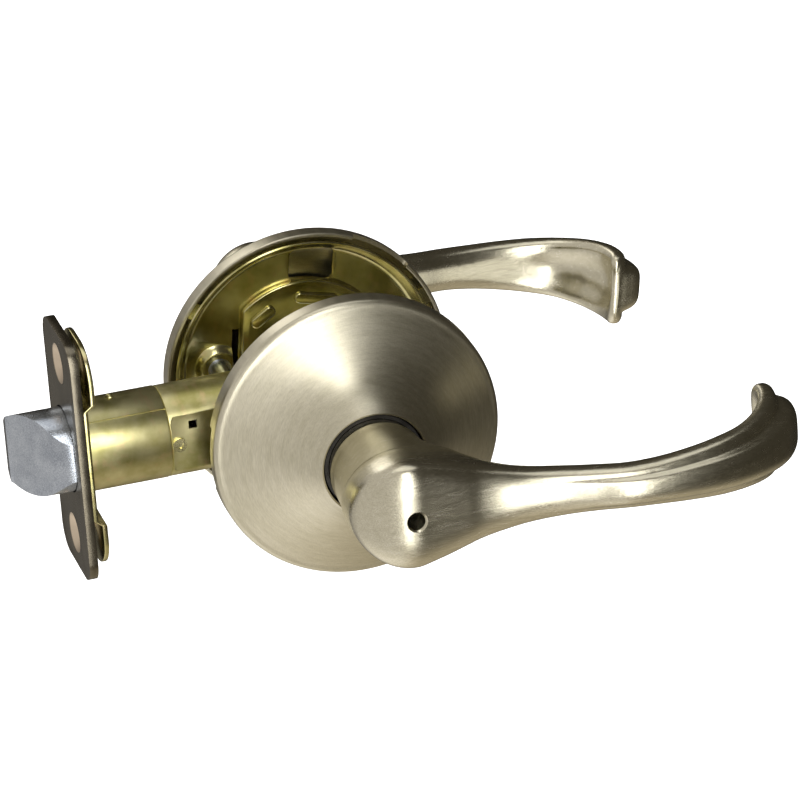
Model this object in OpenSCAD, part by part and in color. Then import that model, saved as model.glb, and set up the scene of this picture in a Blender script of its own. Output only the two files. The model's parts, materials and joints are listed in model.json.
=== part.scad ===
// Privacy door lever set: two scrolled levers on round roses, joined through the door by a spindle,
// with a tubular spring latch. Origin: spindle axis at the middle of the door's thickness.
// +X points along the levers, -Y out of the locked room, +Z up. All lengths are millimetres.

/* [Door] */
// Thickness of the door between the two roses
door_t = 35; // [33:0.5:45]
// Distance from the door's edge to the spindle axis
backset = 60.3; // [60.3:0.1:70]
// Turn of the mounting plates and the inside lever about the spindle axis, in degrees
half_turn = 7; // [0:1:8]

/* [Rose] */
// Outer diameter of each rose
rose_d = 65.1; // [64:0.1:67]
// Height of each rose from the door's face to its neck opening
rose_h = 19; // [18.6:0.1:19.4]
// Depth of the straight rim before the rounded shoulder
rose_rim = 3.4; // [3:0.1:3.8]
// Radius of the neck opening
rose_hole_r = 11.6; // [11.5:0.05:11.8]
// Thickness of the pressed metal of the roses
sheet_t = 0.9; // [0.8:0.05:1]

/* [Lever] */
// Radius of the lever's neck where it leaves the rose
neck_r = 10.95; // [10.8:0.05:11.1]
// Radius of the hole for the emergency release pin
pinhole_r = 2; // [1.5:0.1:2.4]
// Radius of the push button in the inside lever
button_r = 4.4; // [3.5:0.1:4.6]
// Travel of the push button
button_travel = 3; // [2:0.1:3]

/* [Chassis] */
// Outer radius of the drive tube inside each lever
tube_r = 8; // [7.9:0.05:8]
// Side of the square spindle
spindle_w = 7; // [6.4:0.1:7]
// Distance of the clamp screws from the spindle axis
screw_reach = 19.7; // [19.4:0.1:20]
// Radius of a clamp screw's shank
screw_r = 1.85; // [1.6:0.05:1.85]
// Radius of a screw hole in the mounting plates
screw_hole_r = 2.7; // [2.3:0.1:2.8]

/* [Latch] */
// Width of the faceplate across the door's edge
face_w = 25.4; // [24:0.1:28]
// Height of the faceplate along the door's edge
face_h = 57.15; // [56:0.05:60]
// Thickness of the faceplate
face_t = 2; // [1.6:0.1:2.4]
// Distance between the two screw holes in the faceplate
face_pitch = 41.28; // [41:0.02:42]
// Outer radius of the latch tube
case_r = 10.3; // [10.3:0.05:11]
// How far the bolt stands out of the faceplate
throw = 12; // [10:0.1:12.7]

/* [Hidden] */
$fn = 96;

face_y = door_t / 2;           // door face, measured from the middle of the door
face_x = -backset;             // outer face of the faceplate
slack = 0.1;                   // play between parts that slide
rose_r = rose_d / 2;

// Heights above the door's face
shoulder_h = rose_rim + 1.5;
hub_end = 16.2;                // inner end of the lever's hub
neck_start = rose_h + 2;       // visible shoulder of the neck
bore_end = 39;                 // blind end of the lever's bore
plate_top = 4.1;               // face of the plate's flange that looks at the door
plate_t = 0.9;
plate_edge = 0.4;              // rim of the plate, close to the door
cup_floor = 8.4;
collar_end = 12;
bushing_end = 18;
tube_start = 3.7;
tube_end = 36.5;
ring_start = 12.3;
ring_t = 0.9;
catch_h = 27;
cover_start = 2.5;
cover_t = 1;

// Radii
hub_r = 10.3;
hub_bore_r = tube_r + slack;
tube_bore_r = 6.8;
groove_r = 7.35;
collar_bore_r = tube_r + 0.05;
collar_r = 9.8;
plate_r = 30.4;
plate_flat_r = 27.6;           // where the flange starts to slope to the rim
cup_r = 18.7;
cup_half_w = 13.6;
cover_r = 20.3;
cover_half_w = 14.9;
boss_h = 1.5;
boss_r = 3.7;                  // top of the dished boss round each screw hole
boss_foot_r = 5.2;
drive_flange_r = 9.6;
ring_r = 10.6;
catch_r = 1.9;
screw_head_r = 3.5;
post_r = 3.2;

// Privacy lock
rod_r = 1.7;
wing_reach = 8.9;
wing_w = 1.8;
wing_t = 1.6;
wing_h = 14;
wing_low = wing_h - button_travel;
wing_slot_w = 2.6;
button_end = 54.5;
button_flange_h = 37.4;
button_flange_r = 6.2;
spindle_half = face_y + 27.5;

// Latch, measured along X
face_back = face_x + face_t;
tube_front = face_back + 1.2;
case_front = -38.6;
case_back = 13;
case_wall = 0.6;
case_half_w = 7.8;
bolt_r = case_r - case_wall - 0.2;
bolt_back = face_back + 3.7;
tail_disc_t = 1.4;
tail_stem_r = 2;
arm_z = 6.2;                   // near side of the tail's strips
arm_h = 1.4;
arm_end = 3;
seat_x = -30;
cam_r = 5.8;
cam_reach = 8.4;
back_w = 23.6;                 // plate behind the faceplate
back_h = 53;
back_step = 1.9;               // how far its ends stand back
back_middle = 28.4;

post_end = 9;                  // free end of the posts, along +Y
post_x = screw_reach * cos(half_turn);
post_z = screw_reach * sin(half_turn);

nickel = "#a59c86";
zinc = "#b9a84c";
steel = "#9aa0a8";

// Puts a shape drawn upward from the door's face onto the outside face of the door.
module outside_side() {
    translate([0, -face_y, 0]) rotate([90, 0, 0]) children();
}

// The same on the inside face, turned with the inside half.
module inside_side() {
    mirror([0, 1, 0]) outside_side() rotate([0, 0, -half_turn]) children();
}

// Points a shape drawn along +Z along +X, with its +X side down.
module along_x() {
    rotate([0, 90, 0]) children();
}

// Smooth curve through a list of stations, each a vector of the same length.
function blend(a, b, c, d, t) =
    0.5 * (2 * b + (c - a) * t + (2 * a - 5 * b + 4 * c - d) * t * t + (3 * b - a - 3 * c + d) * t * t * t);
function station(list, u) =
    let (n = len(list) - 1, i = min(floor(u), n - 1))
    blend(list[max(i - 1, 0)], list[i], list[i + 1], list[min(i + 2, n)], u - i);
function smooth(list, steps) =
    [for (k = [0:(len(list) - 1) * steps]) station(list, k / steps)];

// Faces of a closed tube made of rings of equal size.
function tube_faces(rings, sides) = concat(
    [[for (k = [0:sides - 1]) k]],
    [for (i = [0:rings - 2], k = [0:sides - 1], half = [0, 1])
        let (next = (k + 1) % sides, here = i * sides, there = here + sides)
        half == 0 ? [here + k, there + k, there + next] : [here + k, there + next, here + next]],
    [[for (k = [sides - 1:-1:0]) (rings - 1) * sides + k]]);

// Round wire that follows a list of points lying roughly in turns about the Z axis.
module wire_coil(coil_r, wire_r, height, turns, steps, sides) {
    rings = round(turns * steps);
    points = [for (i = [0:rings], k = [0:sides - 1])
        let (a = 360 * i / steps, b = 360 * k / sides, r = coil_r + wire_r * cos(b))
        [r * cos(a), r * sin(a), wire_r + (height - 2 * wire_r) * i / rings + wire_r * sin(b)]];
    polyhedron(points, tube_faces(rings + 1, sides), convexity = 10);
}

module cylinder_above(r, from, to) {
    translate([0, 0, from]) cylinder(r = r, h = to - from);
}

// ---- Lever ----

// The head: its front is a curved band, drawn as distance along the lever against height.
head_r = 12.5;
head_round = 4;
head_base = 33;
head_shoulder = 45.6;
head_top = 50.2;
head_front = [[-13, 30], [-12.8, 40.8], [-12.2, 42.6], [-11.2, 44.4], [-9.6, 46.2], [-7.4, 47.8],
    [-4.4, 49.1], [-1, 49.8], [2, 50], [6, 50], [10, 49.8], [14, 49.5], [14, 36.2], [11.6, 33], [11.4, 30]];

module lever_head() {
    intersection() {
        rotate_extrude() polygon(concat([[0, head_base], [head_r, head_base]],
            [for (a = [0:15:75]) [head_r - head_round + head_round * cos(a),
                head_shoulder + (head_top - head_shoulder) * sin(a)]],
            [[0, head_top]]));
        rotate([90, 0, 0]) linear_extrude(40, center = true) polygon(head_front);
    }
}

// Stations along the grip: distance along it, height of its middle, tilt, half thickness,
// half height of the section, rise of the rib, and how square the section is.
grip_stations = [
    [4.9, 45.1, 0, 4.8, 11.6, 0, 4.4],
    [8, 44.9, 0, 4.9, 10.8, 0, 4.2],
    [11.5, 43, 0, 6.8, 9.8, 0, 3.8],
    [15, 43.8, 0, 5.9, 8.7, 0, 3.2],
    [20, 45.2, 0, 4.8, 7.4, 0, 2.6],
    [26, 46.5, -6, 4.3, 6.2, 0, 2.3],
    [33, 47.9, -9, 4.1, 5.5, 0.3, 2.2],
    [40, 49.6, -10, 4, 5.1, 0.6, 2.2],
    [47, 51.4, -8, 4, 5, 0.9, 2.2],
    [54, 52, -1, 4, 5.3, 1.1, 2.2],
    [61, 51.8, 6, 4, 5.9, 1.4, 2.2],
    [68, 50.7, 16, 4, 6.6, 1.8, 2.3],
    [74.5, 48.3, 32, 3.9, 7.3, 2.2, 2.4],
    [79.8, 44.2, 50, 3.7, 8.1, 2.7, 2.5],
    [83.2, 39, 68, 3.4, 8.7, 3.2, 2.5],
    [84.8, 34, 84, 3, 8.6, 3.3, 2.4],
    [84.9, 31, 92, 2, 7, 2.4, 2.2]];
grip_sides = 20;

function squarish(v, n) = sign(v) * pow(abs(v), 2 / n);
function rib_rise(v, rise) = abs(v) < 0.6 ? rise * sqrt(1 - v * v / 0.36) : 0;
function grip_ring(s) = [for (k = [0:grip_sides - 1])
    let (
        a = 360 * (k + 0.5) / grip_sides,
        across = squarish(cos(a), s[6]),
        out = s[3] * squarish(sin(a), s[6]) + (sin(a) > 0 ? rib_rise(across, s[5]) : 0))
    [s[0] + out * sin(s[2]), s[4] * across, s[1] + out * cos(s[2])]];

module lever_grip() {
    path = smooth(grip_stations, 2);
    points = [for (s = path) each grip_ring(s)];
    polyhedron(points, tube_faces(len(path), grip_sides), convexity = 8);
}

neck_top_r = 11.9;             // the neck widens a little toward the head
neck_end = 42.3;

module lever_neck() {
    rotate_extrude()
        polygon([[0, hub_end], [hub_r, hub_end], [hub_r, neck_start], [neck_r - 0.4, neck_start],
            [neck_r, neck_start + 0.4], [11.2, 24], [11.6, 31.5], [neck_top_r, 38], [neck_top_r, neck_end],
            [0, neck_end]]);
}

// The lever with its bore for the drive tube and the hole for the catch.
module lever_body() {
    difference() {
        union() {
            lever_neck();
            lever_head();
        }
        translate([0, 0, hub_end - 1]) cylinder(r = hub_bore_r, h = bore_end - hub_end + 1);
        translate([0, 0, catch_h]) rotate([90, 0, 0]) cylinder(r = catch_r + slack, h = 15);
        children();
    }
    lever_grip();
}

module outside_lever() {
    color(nickel) outside_side() lever_body() {
        translate([0, 0, bore_end - 1]) cylinder(r = pinhole_r, h = 20);
    }
}

module inside_lever() {
    color(nickel) inside_side() lever_body()
        translate([0, 0, bore_end - 1]) cylinder(r = button_r + slack, h = 20);
}

// ---- Rose and its bushing ----

// Height of the rose's face at a radius: a shallow cone that flares up to the neck.
function rose_face(r) =
    let (s = (rose_r - 1.5 - r) / (rose_r - 1.5 - rose_hole_r - 0.6))
    shoulder_h + (rose_h - shoulder_h) * (0.6 * s + 0.4 * pow(s, 4));
rose_steps = 14;
notch_w = 15;
notch_h = 1.6;

function rose_outline(inset, top) = concat(
    [[rose_r - inset, 0], [rose_r - inset, rose_rim - 0.4 * inset]],
    [for (a = [30:30:60]) [rose_r - 1.5 - inset * 0.7 + 1.5 * cos(a), rose_rim - 0.7 * inset + 1.5 * sin(a)]],
    [for (i = [0:rose_steps])
        let (r = rose_r - 1.5 - (rose_r - rose_hole_r - 2.1) * i / rose_steps)
        [r - 0.4 * inset * i / rose_steps, rose_face(r) - inset * (1 + 0.4 * i / rose_steps)]],
    [[rose_hole_r, top]]);

module rose() {
    outer = rose_outline(0, rose_h - 0.5);
    inner = rose_outline(sheet_t, rose_h - 2);
    rotate_extrude($fn = 144)
        polygon(concat(outer, [for (i = [len(inner) - 1:-1:0]) inner[i]]));
}

// Pry notch in the rim of a rose.
module rim_notch(angle) {
    rotate([0, 0, angle]) translate([rose_r - 2, -notch_w / 2, -1]) cube([4, notch_w, notch_h + 1]);
}

module outside_rose() {
    color(nickel) outside_side() difference() {
        rose();
        rim_notch(180);
    }
}

module inside_rose() {
    color(nickel) inside_side() difference() {
        rose();
        rim_notch(60);
    }
}

// Nylon sleeve gripped by the plate's collar, which guides the lever's hub.
module bushing() {
    rotate_extrude()
        polygon([[collar_r, 9.4], [11.4, 9.4], [11.7, 15], [11.2, bushing_end], [hub_r + slack, bushing_end],
            [hub_r + slack, 15.6], [10.9, 15.6], [10.9, collar_end], [collar_r, collar_end]]);
}

module outside_bushing() {
    color("#26241f") outside_side() bushing();
}

module inside_bushing() {
    color("#26241f") inside_side() bushing();
}

// ---- Mounting plate and spring cage ----

// Outline of the round spring cup with flats on its left and right sides.
module cup_outline(r, half_w) {
    intersection() {
        circle(r);
        square([2 * half_w, 4 * r], center = true);
    }
}

// Plate with a dished rim, a cup for the return spring and the collar that carries the drive tube.
module plate_body() {
    difference() {
        union() {
            rotate_extrude() polygon([[0, plate_top], [plate_flat_r, plate_top], [plate_r - 0.8, plate_edge],
                [plate_r, plate_edge], [plate_r, 1.6], [plate_flat_r + 0.6, plate_top + plate_t], [0, plate_top + plate_t]]);
            translate([0, 0, plate_top]) linear_extrude(cup_floor + plate_t - plate_top)
                cup_outline(cup_r, cup_half_w);
            cylinder_above(collar_r, cup_floor, collar_end);
            for (side = [-1, 1]) translate([side * screw_reach, 0, plate_top - boss_h])
                cylinder(r1 = boss_r, r2 = boss_foot_r, h = boss_h);
            for (a = [30, 150, 270]) rotate([0, 0, a]) translate([plate_r - 0.5, -2, 0.5])
                cube([rose_r - sheet_t - plate_r + 0.45, 4, 1]);
        }
        translate([0, 0, plate_top - 1]) linear_extrude(cup_floor - plate_top + 1)
            cup_outline(cup_r - plate_t, cup_half_w - plate_t);
        cylinder_above(collar_bore_r, 0, collar_end + 1);
        for (side = [-1, 1]) translate([side * screw_reach, 0, 0]) {
            cylinder(r = screw_hole_r, h = 8);
            translate([0, 0, plate_top - boss_h + plate_t])
                cylinder(r1 = boss_r, r2 = boss_foot_r - 0.6, h = boss_h + plate_t - 0.8);
        }
        children();
    }
}

// Recess at the top of the collar for the wings of the lock rod.
module wing_recess() {
    cylinder_above(wing_reach + 0.2, wing_low - 0.3, collar_end + 1);
}

module outside_plate() {
    color(zinc) outside_side() rotate([0, 0, -half_turn]) plate_body() wing_recess();
}

module inside_plate() {
    color(zinc) inside_side() plate_body() {
        wing_recess();
        translate([0.9, 23.5, plate_top - 0.5]) linear_extrude(2) rounded_box(10.4, 7.6, 1.6);
        translate([-16.8, 0.4, plate_top - 0.5]) cube([1.5, 8.6, 2]);
    }
}

module rounded_box(w, h, r) {
    translate([-w / 2 + r, -h / 2]) square([w - 2 * r, h]);
    translate([-w / 2, -h / 2 + r]) square([w, h - 2 * r]);
    for (i = [-1, 1], j = [-1, 1]) translate([i * (w / 2 - r), j * (h / 2 - r)]) circle(r);
}

// Lid of the spring cup, with two pressed bars that stiffen it.
module cage_cover() {
    difference() {
        union() {
            translate([0, 0, cover_start]) linear_extrude(plate_top - cover_start)
                cup_outline(cover_r, cover_half_w);
            for (bar = [[130, 6.5], [83, 10.3]]) rotate([0, 0, bar[0]]) translate([16, 0, cover_start - 0.8])
                linear_extrude(1) rounded_box(2.8, bar[1], 1.3);
        }
        translate([0, 0, cover_start + cover_t]) linear_extrude(2) cup_outline(cup_r - 0.3, cup_half_w - 0.3);
        cylinder_above(5.4, 0, 4);
    }
}

module outside_cage_cover() {
    color(zinc) outside_side() rotate([0, 0, -half_turn]) cage_cover();
}

module inside_cage_cover() {
    color(zinc) inside_side() cage_cover();
}

// Return spring wound round the drive tube inside the cup.
module return_spring() {
    translate([0, 0, tube_start + 1.4]) wire_coil(10.6, 0.5, 3.2, 2, 24, 8);
}

module outside_return_spring() {
    color(steel) outside_side() return_spring();
}

module inside_return_spring() {
    color(steel) inside_side() return_spring();
}

// ---- Drive tube, retaining ring and catch ----

// Slot along the spindle and the drive tube in which the wings slide.
module wing_slot() {
    translate([-15, -wing_slot_w / 2, wing_low - 0.4]) cube([30, wing_slot_w, wing_t + button_travel + 0.8]);
}

// Tube driven by the lever; its flange winds the return spring and its web takes the spindle.
module drive_tube(web_turn) {
    difference() {
        union() {
            cylinder_above(tube_r, tube_start, tube_end);
            translate([0, 0, tube_start]) linear_extrude(1.2) {
                circle(drive_flange_r);
                rotate([0, 0, -90]) translate([0, -2]) square([drive_flange_r + 2, 4]);
            }
        }
        cylinder_above(tube_bore_r, tube_start + 2, tube_end + 1);
        translate([0, 0, tube_start - 1]) linear_extrude(4) rotate([0, 0, web_turn])
            square(spindle_w + 0.2, center = true);
        difference() {
            cylinder_above(tube_r + 1, ring_start - 0.05, ring_start + ring_t + 0.05);
            cylinder_above(groove_r, ring_start - 1, ring_start + ring_t + 1);
        }
        translate([0, 0, catch_h]) rotate([90, 0, 0]) cylinder(r = catch_r + slack, h = 15);
        wing_slot();
    }
}

module outside_drive_tube() {
    color(steel) outside_side() drive_tube(0);
}

module inside_drive_tube() {
    color(steel) inside_side() drive_tube(half_turn);
}

// Ring that keeps the drive tube in the plate, notched for the wings of the lock rod.
module retaining_ring() {
    difference() {
        cylinder_above(ring_r, ring_start, ring_start + ring_t);
        cylinder_above(groove_r + 0.02, ring_start - 1, ring_start + 2);
        translate([-9.7, -1.6, ring_start - 1]) cube([19.4, 3.2, 3]);
    }
}

module outside_retaining_ring() {
    color(steel) outside_side() retaining_ring();
}

module inside_retaining_ring() {
    color(steel) inside_side() retaining_ring();
}

// Pin that holds the lever on the tube, on its leaf inside the tube.
module catch_pin() {
    translate([0, 0, catch_h]) rotate([90, 0, 0]) translate([0, 0, 5.4]) cylinder(r = catch_r, h = 5.4);
    translate([-1.6, -6.2, catch_h - 6]) cube([3.2, 0.8, 12]);
}

module outside_catch() {
    color(steel) outside_side() catch_pin();
}

module inside_catch() {
    color(steel) inside_side() catch_pin();
}

// ---- Parts that cross the door ----

// Stands a shape drawn along +Y at each clamp screw.
module at_screws() {
    for (side = [-1, 1]) translate([side * post_x, 0, -side * post_z]) rotate([-90, 0, 0]) children();
}

// Threaded posts riveted to the outside plate.
module posts() {
    post_foot = -face_y - plate_top + boss_h;
    color(steel) at_screws() difference() {
        union() {
            translate([0, 0, post_foot]) cylinder(r = post_r, h = post_end - post_foot);
            translate([0, 0, post_foot - 1.8]) cylinder(r = screw_hole_r - 0.02, h = 2);
            translate([0, 0, post_foot - 1.8]) cylinder(r = screw_head_r, h = 0.9);
        }
        translate([0, 0, -8]) cylinder(r = screw_r + 0.05, h = 30);
    }
}

// Screws that clamp the inside plate to the posts.
module clamp_screws() {
    head_seat = face_y + plate_top - boss_h + 0.9;
    color(steel) at_screws() difference() {
        union() {
            translate([0, 0, -5]) cylinder(r = screw_r, h = head_seat + 6);
            translate([0, 0, head_seat]) cylinder(r = screw_head_r, h = 1.9);
        }
        translate([0, 0, head_seat + 1]) linear_extrude(2) {
            square([4.4, 0.9], center = true);
            square([0.9, 4.4], center = true);
        }
    }
}

// Square tube that joins both drive tubes and the latch cam.
module spindle() {
    color(steel) difference() {
        cube([spindle_w, 2 * spindle_half, spindle_w], center = true);
        rotate([90, 0, 0]) cylinder(r = rod_r + 0.3, h = 3 * spindle_half, center = true);
        inside_side() wing_slot();
    }
}

// Push button with the flange that keeps it in the lever.
module privacy_button() {
    color(nickel) inside_side() {
        cylinder_above(button_r, button_flange_h, button_end - 1);
        translate([0, 0, button_end - 1]) cylinder(r1 = button_r, r2 = button_r - 1, h = 1);
        cylinder_above(button_flange_r, button_flange_h, button_flange_h + 1.3);
    }
}

// Rod from the button to the outside pinhole, with wings that lock the inside drive tube.
module lock_rod() {
    color(steel) inside_side() {
        cylinder_above(rod_r, -door_t - 35, button_flange_h);
        translate([-wing_reach, -wing_w / 2, wing_h]) cube([2 * wing_reach, wing_w, wing_t]);
    }
}

module button_spring() {
    color(steel) inside_side() translate([0, 0, 27.6]) wire_coil(3.7, 0.35, 9.7, 6, 16, 8);
}

// ---- Latch ----

// Prism drawn in the latch's cross-section, standing from one X to another.
module bar_x(from, to) {
    translate([from, 0, 0]) rotate([90, 0, 90]) linear_extrude(to - from) children();
}

// Cross-section of the case: a circle with flat sides.
module case_section(r, half_w) {
    intersection() {
        circle(r);
        square([2 * half_w, 4 * r], center = true);
    }
}

module faceplate() {
    color(nickel) difference() {
        bar_x(face_x, face_back) rounded_box(face_w, face_h, 5);
        bar_x(face_x - 1, face_back + 1) case_section(bolt_r + 0.3, 8.7);
        for (side = [-1, 1]) translate([face_x, 0, side * face_pitch / 2]) {
            along_x() translate([0, 0, -1]) cylinder(r = 2.7, h = face_t + 2);
            along_x() cylinder(r1 = 4.5, r2 = 2.7, h = 1.2);
        }
    }
}

// Plate behind the faceplate: its middle touches it, its ends stand back.
module back_plate() {
    color(zinc) difference() {
        union() {
            bar_x(face_back, tube_front) square([back_w, back_middle], center = true);
            bar_x(face_back + back_step, tube_front + back_step) difference() {
                rounded_box(back_w, back_h, 9);
                square([back_w + 1, back_middle - 0.5], center = true);
            }
            for (side = [-1, 1]) bar_x(face_back, tube_front + back_step)
                translate([0, side * (back_middle - 1.2) / 2]) square([back_w, 1.2], center = true);
        }
        bar_x(face_back - 1, tube_front + 3) circle(bolt_r + 0.3);
        for (side = [-1, 1]) translate([face_back, 0, side * face_pitch / 2])
            along_x() cylinder(r = 2.7, h = 5);
    }
}

// Front tube of the latch, with its seam and a small dimple on top.
module latch_tube() {
    color(zinc) difference() {
        union() {
            bar_x(tube_front, case_front) circle(case_r);
            translate([-49.5, 0.5, case_r - 0.4]) sphere(1.1, $fn = 32);
            bar_x(tube_front, case_front) rotate(128) translate([case_r - 0.4, 0]) circle(0.6, $fn = 24);
        }
        bar_x(tube_front - 1, case_front + 1) circle(case_r - case_wall);
    }
}

// Flat-sided rear case, with a spigot that plugs into the tube.
module latch_case() {
    color(zinc) difference() {
        union() {
            bar_x(case_front, case_back) case_section(case_r - 0.1, case_half_w);
            bar_x(case_front - 2.9, case_front + 0.5) circle(case_r - case_wall - 0.03);
        }
        bar_x(case_front, case_back + 1) case_section(case_r - 0.1 - case_wall, case_half_w - case_wall);
        bar_x(case_front - 4, case_front + 0.8) case_section(case_r - case_wall - 0.5, 20);
        rotate([90, 0, 0]) cylinder(r = cam_r + slack, h = 40, center = true);
        translate([-post_x, 0, post_z]) rotate([90, 0, 0]) cylinder(r = 4.2, h = 40, center = true);
        translate([-33.2, -case_half_w, 3.9]) cube([1.9, 3, 1.9], center = true);
    }
}

// Rivets whose heads show on both flat sides of the case.
module case_rivets() {
    color(zinc) for (side = [-1, 1]) translate([-36.6, side * case_half_w, -0.4]) rotate([-90 * side, 0, 0]) {
        difference() {
            cylinder(r = 1.6, h = 0.6);
            translate([0, 0, 0.2]) cylinder(r = 0.8, h = 1);
        }
    }
}

// Fixed wall that the latch spring pushes against.
module spring_seat() {
    color(steel) difference() {
        translate([seat_x, -case_half_w + case_wall, -5.4]) cube([1, 2 * (case_half_w - case_wall), 10.8]);
        translate([seat_x - 1, 0, 0]) along_x() cylinder(r = tail_stem_r + 0.5, h = 3);
    }
}

// Bolt: a round bar with one bevelled side which sweeps back to full width near the faceplate.
bolt_tip = face_x - throw;
bolt_bevel_end = [bolt_tip + 7, -5.6];
bolt_corner = [bolt_tip + 8.6, -8];
bolt_root = [face_x - 0.2, -8.4];
function bolt_hollow(t) =
    (1 - t) * (1 - t) * bolt_bevel_end + 2 * t * (1 - t) * bolt_corner + t * t * bolt_root;

module latch_bolt() {
    color("#a9b0ba") intersection() {
        bar_x(bolt_tip, bolt_back) circle(bolt_r);
        translate([0, 0, -20]) linear_extrude(40) polygon(concat(
            [[bolt_back, -8.4], [bolt_back, 8], [bolt_tip + 0.6, 8], [bolt_tip, 7.4], [bolt_tip, 5.2],
                [bolt_tip + 0.6, 4.6]],
            [for (t = [0:0.125:1]) bolt_hollow(t)]));
    }
}

// Tail behind the bolt: a disc, a stem for the spring and four strips with cross bars for the cam.
module latch_tail() {
    color(steel) {
        translate([bolt_back, 0, 0]) along_x() cylinder(r = bolt_r - 0.6, h = tail_disc_t);
        translate([bolt_back, 0, 0]) along_x() cylinder(r = tail_stem_r, h = 18);
        for (side = [-1, 1]) {
            for (edge = [-1, 1]) bar_x(bolt_back, arm_end)
                translate([edge * 3.1, side * (arm_z + arm_h / 2)]) square([1.8, arm_h], center = true);
            bar_x(arm_end - 1.6, arm_end) translate([0, side * (arm_z + arm_h / 2)])
                square([8, arm_h], center = true);
        }
    }
}

module latch_spring() {
    spring_from = bolt_back + tail_disc_t;
    color(steel) translate([spring_from, 0, 0]) along_x()
        wire_coil(3.6, 0.4, seat_x - spring_from, 9, 16, 8);
}

// Cam turned by the spindle, with a finger above and one below for the tail's cross bars.
module latch_cam() {
    color(steel) difference() {
        union() {
            rotate([90, 0, 0]) cylinder(r = cam_r, h = 17.2, center = true);
            translate([-1, -1.5, -cam_reach]) cube([2, 3, 2 * cam_reach]);
        }
        cube([spindle_w + 0.1, 40, spindle_w + 0.1], center = true);
    }
}

outside_lever();
outside_rose();
outside_bushing();
outside_plate();
outside_cage_cover();
outside_return_spring();
outside_drive_tube();
outside_retaining_ring();
outside_catch();
posts();
inside_lever();
inside_rose();
inside_bushing();
inside_plate();
inside_cage_cover();
inside_return_spring();
inside_drive_tube();
inside_retaining_ring();
inside_catch();
clamp_screws();
privacy_button();
button_spring();
lock_rod();
spindle();
faceplate();
back_plate();
latch_tube();
latch_case();
case_rivets();
spring_seat();
latch_bolt();
latch_tail();
latch_spring();
latch_cam();
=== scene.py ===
import json
import math

import bmesh
import bpy
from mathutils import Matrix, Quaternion, Vector


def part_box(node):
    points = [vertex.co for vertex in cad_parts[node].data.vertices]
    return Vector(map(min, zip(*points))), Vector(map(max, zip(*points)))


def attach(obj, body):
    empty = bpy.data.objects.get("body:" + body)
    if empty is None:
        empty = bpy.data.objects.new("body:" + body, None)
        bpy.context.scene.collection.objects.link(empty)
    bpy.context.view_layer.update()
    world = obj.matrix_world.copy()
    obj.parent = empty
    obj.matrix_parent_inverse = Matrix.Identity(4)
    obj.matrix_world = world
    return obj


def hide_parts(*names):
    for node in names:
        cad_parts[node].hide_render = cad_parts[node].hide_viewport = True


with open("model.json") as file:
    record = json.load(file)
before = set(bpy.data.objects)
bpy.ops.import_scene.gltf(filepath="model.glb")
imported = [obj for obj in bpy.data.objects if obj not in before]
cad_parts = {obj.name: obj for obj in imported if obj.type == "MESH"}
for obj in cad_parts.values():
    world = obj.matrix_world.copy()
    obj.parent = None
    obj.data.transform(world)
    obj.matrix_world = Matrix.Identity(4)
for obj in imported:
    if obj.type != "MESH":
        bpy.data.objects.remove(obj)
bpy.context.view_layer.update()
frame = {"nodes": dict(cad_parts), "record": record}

mm = 0.001
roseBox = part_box("outside_rose")
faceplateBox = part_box("faceplate")
face = -roseBox[1].y / mm                 # door face, from the middle of the door
roseRadius = roseBox[1].z / mm
plateFront = faceplateBox[0].x / mm       # outer face of the faceplate
insideTurn = math.radians(7)              # the inside half hangs a little lower


def clearSelection():
    if bpy.context.object and bpy.context.object.mode != "OBJECT":
        bpy.ops.object.mode_set(mode="OBJECT")
    bpy.ops.object.select_all(action="DESELECT")


def makeActive(piece):
    clearSelection()
    piece.select_set(True)
    bpy.context.view_layer.objects.active = piece


def named(name):
    piece = bpy.context.object
    piece.name = name
    piece.data.name = name
    bpy.ops.object.transform_apply(location=True, rotation=True, scale=True)
    return piece


def alongAxis(axis, least=mm):    # a test that picks the edges that run along X, Y or Z
    return lambda e: abs(e.verts[0].co[axis] - e.verts[1].co[axis]) > least


def applied(piece, kind, **settings):
    makeActive(piece)
    modifier = piece.modifiers.new(kind.title(), kind)
    for key, value in settings.items():
        setattr(modifier, key, value)
    bpy.ops.object.modifier_apply(modifier=modifier.name)
    return piece


def combine(piece, other, operation="DIFFERENCE"):
    applied(piece, "BOOLEAN", operation=operation, object=other, solver="EXACT")
    bpy.data.objects.remove(other)
    return piece


def editAll(piece):    # edit mode, with everything selected
    makeActive(piece)
    bpy.ops.object.mode_set(mode="EDIT")
    bpy.ops.mesh.select_mode(type="VERT")
    bpy.ops.mesh.select_all(action="SELECT")


def selectWhere(piece, kind, test):    # edit mode, with only the verts or edges that pass the test selected
    makeActive(piece)
    bpy.ops.object.mode_set(mode="EDIT")
    bpy.ops.mesh.select_mode(type={"verts": "VERT", "edges": "EDGE"}[kind])
    bpy.ops.mesh.select_all(action="DESELECT")
    bm = bmesh.from_edit_mesh(piece.data)
    for element in getattr(bm, kind):
        if test(element):
            element.select_set(True)
    bm.select_flush_mode()
    bmesh.update_edit_mesh(piece.data)


def bevelWhere(piece, test, width, segments=4):
    selectWhere(piece, "edges", test)
    bpy.ops.mesh.bevel(offset=width * mm, segments=segments, affect="EDGES")
    bpy.ops.object.mode_set(mode="OBJECT")
    return piece


def softEdges(piece, width, segments, angle=35):
    applied(piece, "BEVEL", width=width * mm, segments=segments, limit_method="ANGLE",
            angle_limit=math.radians(angle), use_clamp_overlap=True)
    return smooth(piece, 40)


def smooth(piece, angle):
    makeActive(piece)
    bpy.ops.object.shade_smooth_by_angle(angle=math.radians(angle))
    return piece


def tidyMesh(piece):
    editAll(piece)
    bpy.ops.mesh.remove_doubles(threshold=0.001 * mm)
    bpy.ops.mesh.normals_make_consistent(inside=False)
    bpy.ops.object.mode_set(mode="OBJECT")
    return piece


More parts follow.
